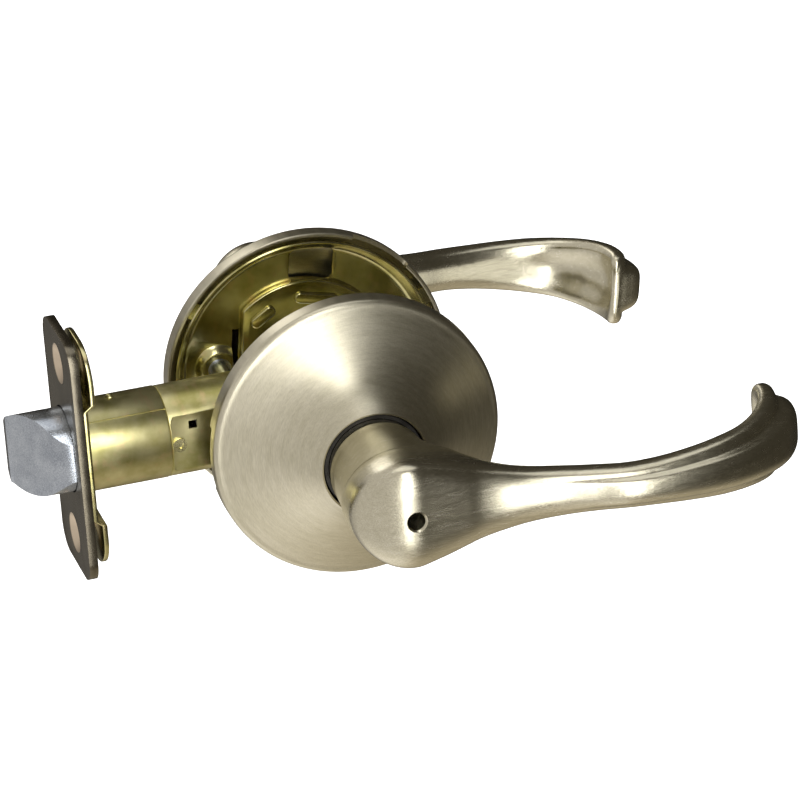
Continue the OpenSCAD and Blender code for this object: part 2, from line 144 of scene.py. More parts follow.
def block(name, low, high):
    low, high = Vector(low) * mm, Vector(high) * mm
    clearSelection()
    bpy.ops.mesh.primitive_cube_add(size=1, location=(low + high) / 2, scale=high - low)
    return named(name)


def rod(name, radius, start, end, vertices=64, endRadius=None):
    start, end = Vector(start) * mm, Vector(end) * mm
    clearSelection()
    bpy.ops.mesh.primitive_cone_add(
        vertices=vertices, radius1=radius * mm, radius2=(radius if endRadius is None else endRadius) * mm,
        depth=(end - start).length, location=(start + end) / 2,
        rotation=(end - start).to_track_quat("Z", "Y").to_euler())
    return named(name)


def prism(name, outline, move):    # a closed outline of points, extruded
    clearSelection()
    bpy.ops.mesh.primitive_circle_add(vertices=len(outline), radius=mm, fill_type="NGON")
    piece = named(name)
    editAll(piece)
    bm = bmesh.from_edit_mesh(piece.data)
    bm.verts.ensure_lookup_table()
    for vertex, point in zip(bm.verts, outline):
        vertex.co = Vector(point) * mm
    bmesh.update_edit_mesh(piece.data)
    bpy.ops.mesh.extrude_region_move(TRANSFORM_OT_translate={"value": Vector(move) * mm})
    bpy.ops.object.mode_set(mode="OBJECT")
    return tidyMesh(piece)


def turned(piece, angle):
    piece.rotation_euler = (0, angle, 0)
    makeActive(piece)
    return named(piece.name)


def flatSided(name, radius, half, start, end, normal, vertices=96):    # a round bar with two flat sides
    piece = rod(name, radius, start, end, vertices)
    for side in (-1, 1):
        editAll(piece)
        bpy.ops.mesh.bisect(plane_co=Vector(normal) * side * half * mm, plane_no=Vector(normal) * side,
                            clear_outer=True, use_fill=True)
        bpy.ops.object.mode_set(mode="OBJECT")
    return piece


def overDoor(x, height, z=0):    # a point, with its height measured from the door's outside face
    return (x, -(face + height), z)


def outward(radius, height):
    return Vector(overDoor(radius, height)) * mm


def alongLatch(radius, x):
    return Vector((x, 0, radius)) * mm


def revolve(name, profile, place=outward, axis=(0, 1, 0), steps=96):
    points = [place(*p) for p in profile]    # drawn point by point, then spun
    clearSelection()
    bpy.ops.mesh.primitive_plane_add(size=mm)
    piece = named(name)
    editAll(piece)
    bpy.ops.mesh.merge(type="CENTER")
    bpy.ops.transform.translate(value=points[0])
    for here, there in zip(points, points[1:] + points[:1]):
        bpy.ops.mesh.extrude_region_move(TRANSFORM_OT_translate={"value": there - here})
    bpy.ops.mesh.select_all(action="SELECT")
    bpy.ops.mesh.spin(steps=steps, angle=2 * math.pi, center=(0, 0, 0), axis=axis)
    bpy.ops.object.mode_set(mode="OBJECT")
    return tidyMesh(piece)


def insideCopy(piece, name):    # mirrored to the inside of the door and turned with that half
    makeActive(piece)
    bpy.ops.object.duplicate()
    copy = bpy.context.object
    copy.scale = (1, -1, 1)
    bpy.ops.object.transform_apply(location=True, rotation=True, scale=True)
    copy.rotation_euler = (0, insideTurn, 0)
    named(name)
    return tidyMesh(copy)


lever = {
    "neck": [(0, 15.2), (10.95, 15.2), (10.95, 23), (11.2, 25.5), (11.6, 31.5), (11.9, 38), (11.9, 41.6),
             (0, 41.6)],
    "bore": [(0, 13), (15, 13), (15, 22.9), (12.5, 22.9), (10.6, 21), (10.3, 21), (10.3, 16.2),
             (8.1, 16.2), (8.1, 39), (0, 39)],
    "headRadius": 12.5,
    "headFront": [(-12.5, 41.2), (-12.3, 42.1), (-12, 42.9), (-11.2, 44.4), (-10, 45.8), (-8, 47.4),
                  (-5.5, 48.7), (-2.5, 49.6), (0.5, 49.95)],
    "headBack": 34.5,
    "headSquare": 4.2,
    # x, height, tilt, half thickness, half width, rise of the rib, squareness, hollow of the back
    "grip": [
        (3.5, 42.2, 0, 7.7, 11.95, 0, 4.0, 0), (8, 42.4, 0, 7.4, 10.8, 0, 3.7, 0),
        (11.5, 42.9, 0, 6.8, 9.7, 0, 3.4, 0), (15, 43.8, 0, 5.8, 8.6, 0, 3.0, 0),
        (20, 45.2, 0, 4.8, 7.35, 0, 2.6, 0), (26, 46.5, -6, 4.3, 6.2, 0.15, 2.35, 0),
        (33, 47.9, -9, 4.1, 5.5, 0.4, 2.25, 0), (40, 49.6, -10, 4.0, 5.1, 0.65, 2.25, 0),
        (47, 51.4, -8, 3.9, 5.0, 0.95, 2.25, 0), (54, 52.0, -1, 3.8, 5.3, 1.2, 2.25, 0.2),
        (61, 51.8, 6, 3.7, 5.9, 1.5, 2.3, 0.6), (68, 50.7, 16, 3.6, 6.6, 1.9, 2.4, 1.2),
        (74.5, 48.3, 32, 3.2, 7.3, 2.6, 2.5, 2.0), (79.8, 44.2, 50, 3.0, 8.2, 3.2, 2.7, 2.5),
        (83.0, 39.2, 68, 2.8, 8.8, 3.6, 3.0, 2.7), (84.1, 35.0, 82, 2.6, 8.9, 3.7, 3.2, 2.4),
        (84.0, 33.0, 91, 2.4, 8.7, 3.2, 3.2, 1.9), (83.6, 31.8, 97, 2.1, 8.2, 1.0, 3.0, 1.2),
        (83.2, 31.0, 101, 1.5, 7.2, 0, 2.6, 0.5), (82.9, 30.4, 103, 0.7, 5.6, 0, 2.4, 0)],
    "blendRadius": 16,                    # where the neck flows into the grip
    "blendStart": 3,
    "blendLength": 9,
    "neckInset": 0.8,
    "ridgeWidth": 0.64,
    "grooveDepth": 0.12,
    "hollowWidth": 0.85,
    "ring": 88,
    "stepsBetween": 5,                    # sections made from one station to the next
    "voxel": 0.33,
    "smoothZone": (44.5, 3, 30),          # height, and the reach from and to
    "smoothTimes": 30,
    "holeEnds": (38, 49.5, 56),
    "pinhole": 2.0,
    "buttonHole": 4.5,
}


def between(a, b, c, d, t):    # a smooth curve from b to c
    square, cube = 2 * a - 5 * b + 4 * c - d, 3 * b - a - 3 * c + d
    return 0.5 * (2 * b + (c - a) * t + square * t * t + cube * t ** 3)


def smoothList(stations, steps):
    last = len(stations) - 1
    found = []
    for k in range(last * steps + 1):
        i = min(k // steps, last - 1)
        corners = [stations[max(i - 1, 0)], stations[i], stations[i + 1], stations[min(i + 2, last)]]
        found.append([between(a, b, c, d, k / steps - i) for a, b, c, d in zip(*corners)])
    return found


def squarish(value, power):
    return math.copysign(abs(value) ** (2 / power), value)


def ridge(across):    # the raised middle of the grip, with steep sides and a fine groove along them
    edge = abs(across / lever["ridgeWidth"])
    return max(0, 1 - edge ** 5) ** 0.7 - lever["grooveDepth"] * math.exp(-((edge - 1.06) / 0.09) ** 2)


def leverSection(station):    # one closed ring of points across the lever
    x, height, tilt, half, width, rise, square, hollow = station
    tilt = math.radians(tilt)
    neck = lever["headRadius"] - lever["neckInset"]
    radius = lever["blendRadius"] * min(max((x - lever["blendStart"]) / lever["blendLength"], 0), 1)
    ring = []
    for k in range(lever["ring"]):
        angle = 2 * math.pi * (k + 0.5) / lever["ring"]
        across = squarish(math.cos(angle), square)
        out = squarish(math.sin(angle), square)
        if out > 0:
            out = half * out + rise * ridge(across)
        else:
            reach = x - math.sqrt(max(neck ** 2 - (width * across) ** 2, 0))
            short = radius - min(max(reach, 0), radius)
            web = radius - math.sqrt(radius ** 2 - short ** 2)
            out = (half + web) * out + hollow * max(0, 1 - (across / lever["hollowWidth"]) ** 2) ** 1.5
        point = (x + out * math.sin(tilt), -(face + height + out * math.cos(tilt)), width * across)
        ring.append(Vector(point) * mm)
    return ring


def loft(name, rings):    # a circle extruded ring by ring, each ring moved to its section
    clearSelection()
    bpy.ops.mesh.primitive_circle_add(vertices=len(rings[0]), radius=mm)
    piece = named(name)
    editAll(piece)
    bm = bmesh.from_edit_mesh(piece.data)
    bm.verts.ensure_lookup_table()
    for vertex, point in zip(bm.verts, rings[0]):
        vertex.co = point
    bmesh.update_edit_mesh(piece.data)
    bpy.ops.mesh.edge_face_add()
    for ring in rings[1:]:
        bpy.ops.mesh.extrude_region_move()
        bm = bmesh.from_edit_mesh(piece.data)
        fresh = [v for v in bm.verts if v.select]
        for vertex, point in zip(fresh, ring):
            vertex.co = point
        bmesh.update_edit_mesh(piece.data)
    bpy.ops.mesh.select_all(action="SELECT")
    bpy.ops.mesh.normals_make_consistent(inside=False)
    bpy.ops.object.mode_set(mode="OBJECT")
    return piece


def makeLever(name, holeRadius, lip):
    head = []
    for x, front in lever["headFront"]:
        width = math.sqrt(max(lever["headRadius"] ** 2 - x * x, 0.8))
        head.append((x, (front + lever["headBack"]) / 2, 0, (front - lever["headBack"]) / 2, width, 0,
                     lever["headSquare"], 0))
    stations = smoothList(head + lever["grip"], lever["stepsBetween"])
    piece = loft(name, [leverSection(s) for s in stations])
    neck = revolve("neck", lever["neck"])
    makeActive(piece)
    neck.select_set(True)
    bpy.ops.object.join()
    applied(piece, "REMESH", mode="VOXEL", voxel_size=lever["voxel"] * mm)
    high, near, far = lever["smoothZone"]
    selectWhere(piece, "verts", lambda v: v.co.y > -(face + high) * mm and near * mm < v.co.x < far * mm)
    bpy.ops.mesh.vertices_smooth(factor=0.5, repeat=lever["smoothTimes"])    # the neck flows into the grip
    bpy.ops.mesh.select_all(action="SELECT")
    bpy.ops.mesh.vertices_smooth(factor=0.5, repeat=2)
    bpy.ops.object.mode_set(mode="OBJECT")
    combine(piece, revolve("bore", lever["bore"]))
    low, mouth, top = lever["holeEnds"]
    wide = holeRadius + lip
    profile = [(0, low), (holeRadius, low), (holeRadius, mouth), (wide, mouth + lip), (wide, top), (0, top)]
    combine(piece, revolve("hole", profile, steps=48))
    return smooth(piece, 38)


outsideLever = makeLever("outsideLever", lever["pinhole"], 0.6)
print("outside lever", len(outsideLever.data.polygons), "faces")
insideLever = insideCopy(makeLever("leverForInside", lever["buttonHole"], 0.4), "insideLever")
bpy.data.objects.remove(bpy.data.objects["leverForInside"])
smooth(insideLever, 38)
print("inside lever made")


rose = {
    "height": 19.0,
    "rim": 3.4,
    "rimRound": 1.5,
    "shoulder": 4.9,
    "flare": 0.4,                         # how much of the rise is kept for the neck
    "opening": 11.6,
    "lip": 0.6,
    "sheet": 0.9,
    "rings": 30,
    "notchWidth": 15,
    "notchDepth": 1.7,
    "notchCorner": 0.7,
}
faceEdge = roseRadius - rose["rimRound"]
faceRun = faceEdge - rose["lip"] - rose["opening"]


def roseFace(radius):
    s = (faceEdge - radius) / faceRun
    rise = (1 - rose["flare"]) * s + rose["flare"] * s ** 4
    return rose["shoulder"] + (rose["height"] - rose["shoulder"]) * rise


def makeRose(name, notchAngle):
    top, opening, sheet = rose["height"], rose["opening"], rose["sheet"]
    rim, rimRound = rose["rim"], rose["rimRound"]
    outer = [(roseRadius - 0.25, 0), (roseRadius, 0.25), (roseRadius, rim)]
    for degrees in (15, 30, 45, 60, 75):    # the rounded rim
        angle = math.radians(degrees)
        outer.append((faceEdge + rimRound * math.cos(angle), rim + rimRound * math.sin(angle)))
    radii = [faceEdge - faceRun * i / rose["rings"] for i in range(rose["rings"] + 1)]
    outer += [(r, roseFace(r)) for r in radii[:-1]]
    outer += [(opening + 0.45, roseFace(opening + rose["lip"]) + 0.02), (opening + 0.1, top - 0.15),
              (opening, top - 0.5)]
    inner = [(opening, top - 1.8)]
    inner += [(r - 0.45, roseFace(r) - 1.25) for r in reversed(radii[2:-1:2])]
    inner += [(roseRadius - 2.2, rose["shoulder"] - 1.1), (roseRadius - sheet, rim - 0.6),
              (roseRadius - sheet, 0.2), (roseRadius - sheet + 0.2, 0)]
    piece = revolve(name, outer + inner, steps=160)
    notch = block("notch", (roseRadius - 2.4, -(face + rose["notchDepth"]), -rose["notchWidth"] / 2),
                  (roseRadius + 1, -(face - 1), rose["notchWidth"] / 2))
    bevelWhere(notch, alongAxis(0, 2 * mm), rose["notchCorner"], 4)
    notch.rotation_euler = (0, -notchAngle, 0)
    makeActive(notch)
    named("notch")
    combine(piece, notch)
    return smooth(piece, 30)


outsideRose = makeRose("outsideRose", math.pi)
insideRose = insideCopy(makeRose("roseForInside", math.radians(60)), "insideRose")
bpy.data.objects.remove(bpy.data.objects["roseForInside"])
smooth(insideRose, 30)
print("roses made")


plate = {
    "screwReach": 19.7,
    "screwHole": 2.7,
    "cupRadius": 18.7,
    "cupHalf": 13.6,
    "cupTop": 9.3,
    "face": 4.1,                          # flange, seen from the door
    "sheet": 0.9,
    "boss": [(0, 4.3), (5.9, 4.3), (5.4, 4.05), (4.9, 3.6), (4.3, 2.9), (3.9, 2.65), (3.5, 2.6), (0, 2.6)],
    "rim": [(6, 4.1), (26.9, 4.1), (27.6, 3.9), (28.3, 3.3), (29.4, 1.0), (29.8, 0.5), (30.1, 0.4),
            (30.4, 0.6), (30.4, 1.4), (28.9, 4.4), (28.4, 4.9), (27.8, 5.0), (6, 5.0)],
    "teeth": (30, 150, 270),              # angles of the teeth that hold the rose
    "collar": (9.8, 8.4, 12),             # radius, and from and to which height
    "bore": 8.05,
    "recess": (9.1, 10.7),                # radius and start, for the wings of the lock rod
    "dish": (3.5, 4.6, 3.6, 6),           # two radii at two heights, around each screw
    "window": (10.4, 7.6),
    "windowPlace": (0.9, 23.5),
    "windowCorner": 1.6,
    "slot": ((-16.8, 0.4), (-15.3, 9)),
    "coverRadius": 20.3,
    "coverHalf": 14.9,
    "coverFace": 2.5,
    "coverBore": 5.4,
    "bars": [(130, 6.5), (83, 10.3)],     # angle and length of the pressed bars
    "barLow": (14.6, 3.2),                # distance from the spindle and height
    "barHigh": (17.4, 1.7),
    "clear": 14,                          # cuts run past the plate to here
}


def standing(name, radius, half, low, high):    # a round block with flats, standing on the door's face
    return flatSided(name, radius, half, overDoor(0, low), overDoor(0, high), (1, 0, 0), 128)


def roundedBlock(name, low, high, corner, soft):    # corners rounded along Y, then every edge softened
    piece = block(name, low, high)
    bevelWhere(piece, alongAxis(1, 0.5 * mm), corner, 6)
    return softEdges(piece, soft, 3) if soft else piece


def makePlate(name, window):
    sheet, clear = plate["sheet"], plate["clear"]
    cupRadius, cupHalf, cupTop = plate["cupRadius"], plate["cupHalf"], plate["cupTop"]
    piece = revolve(name, plate["rim"], steps=144)
    combine(piece, standing("cup", cupRadius, cupHalf, plate["face"] + 0.1, cupTop), "UNION")
    radius, low, high = plate["collar"]
    combine(piece, rod("collar", radius, overDoor(0, low), overDoor(0, high), 96), "UNION")
    for side in (-1, 1):
        boss = revolve("boss", plate["boss"], steps=64)
        boss.location.x = side * plate["screwReach"] * mm
        makeActive(boss)
        combine(piece, named("boss"), "UNION")
    for angle in plate["teeth"]:
        tooth = block("tooth", overDoor(29.6, 1.4, -2), overDoor(31.6, 0.6, 2))
        combine(piece, turned(tooth, -math.radians(angle)), "UNION")
    combine(piece, standing("pocket", cupRadius - sheet, cupHalf - sheet, 0, cupTop - sheet))
    combine(piece, rod("bore", plate["bore"], overDoor(0, 0), overDoor(0, clear), 96))
    radius, low = plate["recess"]
    combine(piece, rod("wingRecess", radius, overDoor(0, low), overDoor(0, clear), 96))
    near, far, low, high = plate["dish"]
    for side in (-1, 1):
        x = side * plate["screwReach"]
        combine(piece, rod("screwHole", plate["screwHole"], overDoor(x, 0), overDoor(x, 8), 48))
        combine(piece, rod("dish", near, overDoor(x, low), overDoor(x, high), 48, far))
    if window:
        x, z = plate["windowPlace"]
        wide, high = plate["window"][0] / 2, plate["window"][1] / 2
        low, top = overDoor(x - wide, 8, z - high), overDoor(x + wide, 0, z + high)
        combine(piece, roundedBlock("window", low, top, plate["windowCorner"], 0))
        start, end = plate["slot"]
        combine(piece, block("slot", overDoor(start[0], 8, start[1]), overDoor(end[0], 0, end[1])))
    return softEdges(piece, 0.22, 3)


def makeCover(name):
    piece = standing(name, plate["coverRadius"], plate["coverHalf"], plate["coverFace"], plate["face"])
    softEdges(piece, 0.5, 4)
    low, high = plate["barLow"], plate["barHigh"]
    for angle, length in plate["bars"]:
        bar = roundedBlock("bar", overDoor(*low, -length / 2), overDoor(*high, length / 2), 1.3, 0.5)
        combine(piece, turned(bar, -math.radians(angle)), "UNION")
    combine(piece, standing("pocket", plate["cupRadius"] - 0.3, plate["cupHalf"] - 0.3, 3.5, 6))
    combine(piece, rod("bore", plate["coverBore"], overDoor(0, 0), overDoor(0, 8), 96))
    return smooth(piece, 30)


outsidePlate = turned(makePlate("outsidePlate", False), insideTurn)
insidePlate = insideCopy(makePlate("plateForInside", True), "insidePlate")
bpy.data.objects.remove(bpy.data.objects["plateForInside"])
outsideCover = makeCover("coverForOutside")
insideCover = insideCopy(outsideCover, "insideCover")
outsideCover.name = "outsideCover"
turned(outsideCover, insideTurn)
for piece in (outsidePlate, insidePlate, outsideCover, insideCover):
    smooth(piece, 30)
print("plates and covers made")


latch = {
    "faceHeight": 57.15,
    "faceWidth": 25.4,
    "faceThick": 2.0,
    "corner": 5.6,
    "screwPitch": 41.28,
    "screwHole": 2.7,
    "sink": 5.2,
    "boltRadius": 9.5,
    "boltBack": -54.6,
    "openingHalf": 8.7,
    "slip": 0.3,                          # room around the bolt
    "throw": 12,
    "tubeRadius": 10.3,
    "tubeFront": -57.1,
    "caseFront": -38.6,
    "caseBack": 13,
    "caseHalf": 7.8,
    "wall": 0.6,
    "seamAngle": 38,
    "dimple": (-49.5, 0.5),
    "dimpleRadius": 1.1,
    "flatHalf": 6.9,
    "flatCorner": 2.2,
    "camHole": 5.9,
    "postHole": 4.2,
    "squareHole": ((-34.15, 2.95), (-32.25, 4.85)),
    "backHeight": 53,
    "backWidth": 23.6,
    "backThick": 1.2,
    "backCorner": 9,
    "backStep": 1.9,
    "bend": (13.2, 1.4),                  # start and length of the step, from the middle
}
halfHeight, halfWidth = latch["faceHeight"] / 2, latch["faceWidth"] / 2
plateBack = plateFront + latch["faceThick"]


def makeFaceplate():
    start, end = plateFront - 1, plateBack + 1
    piece = block("facePlate", (plateFront, -halfWidth, -halfHeight), (plateBack, halfWidth, halfHeight))
    bevelWhere(piece, alongAxis(0), latch["corner"], 12)
    radius, half = latch["boltRadius"] + latch["slip"], latch["openingHalf"]
    combine(piece, flatSided("opening", radius, half, (start, 0, 0), (end, 0, 0), (0, 1, 0)))
    for side in (-1, 1):
        z = side * latch["screwPitch"] / 2
        combine(piece, rod("screwHole", latch["screwHole"], (start, 0, z), (end, 0, z), 48))
        low, deep = (plateFront - 0.4, 0, z), (plateFront + 1.5, 0, z)
        combine(piece, rod("sink", latch["sink"], low, deep, 48, latch["screwHole"]))
    return softEdges(piece, 0.22, 3)


def makeBolt():
    tip = plateFront - latch["throw"]
    back = latch["boltBack"]
    bevelEnd, corner = Vector((tip + 7, -5.6)), Vector((tip + 8.6, -8))
    root = Vector((plateFront - 0.2, -8.4))
    outline = [(back, -8.4), (back, 8), (tip + 0.6, 8), (tip, 7.4), (tip, 5.2), (tip + 0.6, 4.6)]
    for i in range(13):
        t = i / 12
        outline.append(tuple((1 - t) ** 2 * bevelEnd + 2 * t * (1 - t) * corner + t * t * root))
    side = prism("boltSide", [(x, y, -14) for x, y in outline], (0, 0, 28))
    piece = rod("latchBolt", latch["boltRadius"], (tip, 0, 0), (back, 0, 0), 128)
    combine(piece, side, "INTERSECT")
    return softEdges(piece, 0.35, 3, 28)


def makeTube():
    r, wall = latch["tubeRadius"], latch["wall"]
    start, end = latch["tubeFront"], latch["caseFront"]
    profile = [(r - wall, start), (r - 0.12, start), (r, start + 0.12), (r, end - 0.5), (r - 0.3, end),
               (r - wall, end)]
    piece = revolve("latchTube", profile, alongLatch, (1, 0, 0), 128)
    seam = block("seam", (start - 1, -0.09, r - 0.35), (end + 1, 0.09, r + 0.5))
    seam.rotation_euler = (math.radians(latch["seamAngle"]), 0, 0)
    makeActive(seam)
    combine(piece, named("seam"))
    clearSelection()
    x, y = latch["dimple"]
    bpy.ops.mesh.primitive_uv_sphere_add(segments=32, ring_count=16, radius=latch["dimpleRadius"] * mm,
                                         location=(x * mm, y * mm, (r - 0.4) * mm))
    combine(piece, named("dimple"), "UNION")
    combine(piece, rod("bore", r - wall, (start - 1, 0, 0), (end + 1, 0, 0), 128))
    return smooth(piece, 35)


def makeBackPlate():
    half, width = latch["backHeight"] / 2, latch["backWidth"]
    bend, bendLength = latch["bend"]
    rise = [bend, 13.5, 13.9, 14.3, 14.6, half]
    heights = [-z for z in reversed(rise)] + rise
    setBack = [latch["backStep"] * min(max((abs(z) - bend) / bendLength, 0), 1) for z in heights]
    near = [(plateBack + x, -width / 2, z) for x, z in zip(setBack, heights)]
    far = [(plateBack + latch["backThick"] + x, -width / 2, z) for x, z in zip(setBack, heights)]
    piece = prism("backPlate", near + far[::-1], (0, width, 0))
    start, end = plateBack - 1, plateBack + 6
    ends = block("ends", (start, -width / 2 - 0.1, -half), (end, width / 2 + 0.1, half))
    bevelWhere(ends, alongAxis(0), latch["backCorner"], 12)
    combine(piece, ends, "INTERSECT")
    combine(piece, rod("hole", latch["boltRadius"] + latch["slip"], (start, 0, 0), (end, 0, 0), 96))
    for side in (-1, 1):
        z = side * latch["screwPitch"] / 2
        combine(piece, rod("screwHole", latch["screwHole"], (start, 0, z), (end, 0, z), 48))
    return softEdges(piece, 0.25, 3)


def makeCase():
    start, end, half = latch["caseFront"], latch["caseBack"], latch["caseHalf"]
    radius, wall, high, past = latch["tubeRadius"] - 0.1, latch["wall"], latch["flatHalf"], 14
    piece = rod("latchCase", radius, (start, 0, 0), (end, 0, 0), 128)
    for low, top in ((-past, -half), (half, past)):    # pressed flats with rounded corners
        flat = block("flat", (start + 0.1, low, -high), (end + 4, top, high))
        bevelWhere(flat, alongAxis(1), latch["flatCorner"], 6)
        combine(piece, flat)
    softEdges(piece, 0.5, 4)
    hollow = flatSided("hollow", radius - wall, half - wall, (start - 1, 0, 0), (end + 1, 0, 0), (0, 1, 0))
    combine(piece, hollow)
    combine(piece, rod("camHole", latch["camHole"], (0, -20, 0), (0, 20, 0), 96))
    x, z = -plate["screwReach"] * math.cos(insideTurn), plate["screwReach"] * math.sin(insideTurn)
    combine(piece, rod("postHole", latch["postHole"], (x, -20, z), (x, 20, z), 64))
    (left, low), (right, top) = latch["squareHole"]
    combine(piece, block("squareHole", (left, -half - 1, low), (right, -half + 2, top)))
    return smooth(piece, 30)


faceplate = makeFaceplate()
backPlate = makeBackPlate()
latchBolt = makeBolt()
latchTube = makeTube()
latchCase = makeCase()
print("latch made")


class Term:    # a socket that takes part in Python sums
    def __init__(self, paint, socket):
        self.paint, self.socket = paint, socket

    def maths(self, operation, *others):
        return self.paint.add("Math", {"operation": operation}, dict(enumerate((self,) + others)))

    def __add__(self, other):
        return self.maths("ADD", other)

    def __mul__(self, other):
        return self.maths("MULTIPLY", other)

    def __sub__(self, other):
        return self.maths("SUBTRACT", other)

    def __truediv__(self, other):
        return self.maths("DIVIDE", other)

    def __pow__(self, other):
        return self.maths("POWER", other)

    def __rsub__(self, other):
        return (self * -1) + other

    __radd__, __rmul__ = __add__, __mul__


class Nodes:    # the nodes of a material or of the world
    def __init__(self, tree, place="Object"):
        self.tree = tree
        self.place = self.add("TexCoord", out=place)

    def feed(self, socket, value):
        if isinstance(value, Term):
            self.tree.links.new(value.socket, socket)
        else:
            socket.default_value = value

    def add(self, kind, settings=None, inputs=None, out=0):
        node = self.tree.nodes.new("ShaderNode" + kind)
        for key, value in (settings or {}).items():
            setattr(node, key, value)
        for key, value in (inputs or {}).items():
            self.feed(node.inputs[key], value)
        return Term(self, node.outputs[out])

    def noise(self, scale, stretch=(1, 1, 1), detail=3, turn=(0, 0, 0), where=None):
        where = where or self.place
        spot = self.add("Mapping", inputs={"Vector": where, "Rotation": turn, "Scale": stretch})
        return self.add("TexNoise", inputs={"Vector": spot, "Scale": scale, "Detail": detail}, out="Fac")

    def between(self, low, high, value):
        return self.add("MapRange", inputs={"Value": value, "From Min": low, "From Max": high})

    def blend(self, amount, first, second):
        node = self.tree.nodes.new("ShaderNodeMix")
        node.data_type = "RGBA"
        for key, value in ((0, amount), (6, first), (7, second)):
            self.feed(node.inputs[key], value if isinstance(value, (Term, float)) else (*value, 1))
        return Term(self, node.outputs[2])


class Paint(Nodes):    # a metal or plastic finish
    def __init__(self, name):
        self.material = bpy.data.materials.new(name)
        self.material.use_nodes = True
        super().__init__(self.material.node_tree)
        self.shader = next(n for n in self.tree.nodes if n.type == "BSDF_PRINCIPLED")

    def finish(self, colour, roughness, height=None, depth=0.01, metallic=1.0, **fixed):
        self.feed(self.shader.inputs["Base Color"], colour)
        self.feed(self.shader.inputs["Roughness"], roughness)
        self.shader.inputs["Metallic"].default_value = metallic
        for key, value in fixed.items():
            self.shader.inputs[key].default_value = value
        if height is not None:
            self.feed(self.shader.inputs["Normal"], self.add(
                "Bump", inputs={"Height": height, "Distance": depth * mm, "Strength": 1.0}, out="Normal"))
        return self.material


tones = {
    "scratch": (0.30, 0.275, 0.2),
    "chromateDark": (0.42, 0.39, 0.14),
    "chromateLight": (0.76, 0.71, 0.40),
    "chromateAmber": (0.80, 0.58, 0.34),
    "castDark": (0.36, 0.40, 0.47),
    "castLight": (0.62, 0.67, 0.75),
    # painted shade: dark tones given to the faceplate's nickel
    "faceShadeDark": (0.17, 0.15, 0.115),
    "faceShadeLight": (0.27, 0.245, 0.19),
    # painted highlight: pale tan on the faceplate's countersink walls
    "sinkHighlight": (0.80, 0.68, 0.54),
    "nylonDark": (0.014, 0.013, 0.012),
    "nylonLight": (0.035, 0.033, 0.03),
}
nickel = {"light": (0.82, 0.78, 0.64), "dark": (0.68, 0.645, 0.50), "roughness": 0.19, "roughRound": 0.29}


def brushedNickel(name, round):
    paint = Paint(name)
    if round:    # fine rings crossed by a slanted brushing
        parts = paint.add("SeparateXYZ", inputs={0: paint.place}, out="X")
        x, z = parts, Term(paint, parts.socket.node.outputs["Z"])
        radius = (x * x + z * z) ** 0.5
        ring = paint.add("CombineXYZ", inputs={0: radius, 1: x / radius * 0.0022, 2: z / radius * 0.0022})
        fine = paint.noise(7000, where=ring, detail=2)
        broad = paint.noise(1500, where=ring)
        slanted = paint.noise(5200, (1, 1, 0.05), turn=(0, math.radians(62), 0), detail=2)
        lines = fine * 0.55 + slanted * 0.45
    else:        # long lines that run along the lever
        fine = paint.noise(6500, (0.045, 1, 1), detail=2)
        broad = paint.noise(900, (0.1, 1, 1))
        lines = fine
    clouds = paint.noise(60)
    tone = paint.between(0.3, 0.7, broad * 0.6 + clouds * 0.4)
    colour = paint.blend(tone, nickel["dark"], nickel["light"])
    scratch = paint.between(0.35, 0.62, lines)
    colour = paint.blend(0.26 - scratch * 0.26, colour, tones["scratch"])
    roughness = nickel["roughRound" if round else "roughness"] + 0.07 * broad + 0.04 * scratch
    return paint.finish(colour, roughness, lines, 0.01)


def chromate(name, rough):
    paint = Paint(name)
    clouds = paint.noise(130, detail=4)
    streaks = paint.noise(420, (1, 0.35, 1))
    green = paint.blend(paint.between(0.35, 0.65, clouds), tones["chromateDark"], tones["chromateLight"])
    colour = paint.blend(paint.between(0.55, 0.75, streaks) * 0.4, green, tones["chromateAmber"])
    grain = paint.noise(2600, detail=2)
    return paint.finish(colour, rough + 0.10 * clouds + 0.05 * grain, grain * 0.3 + clouds, 0.012)


def castZinc(name):
    paint = Paint(name)
    grain = paint.noise(3400, detail=4)
    clouds = paint.noise(260)
    tone = paint.between(0.35, 0.65, grain * 0.6 + clouds * 0.4)
    colour = paint.blend(tone, tones["castDark"], tones["castLight"])
    return paint.finish(colour, 0.15 + 0.16 * grain, grain, 0.02)


def plainSteel(name, light, dark, roughness):
    paint = Paint(name)
    grain = paint.noise(3000, (1, 0.2, 1), detail=3)
    clouds = paint.noise(180)
    colour = paint.blend(paint.between(0.3, 0.7, grain * 0.5 + clouds * 0.5), dark, light)
    return paint.finish(colour, roughness + 0.12 * clouds, grain, 0.008)


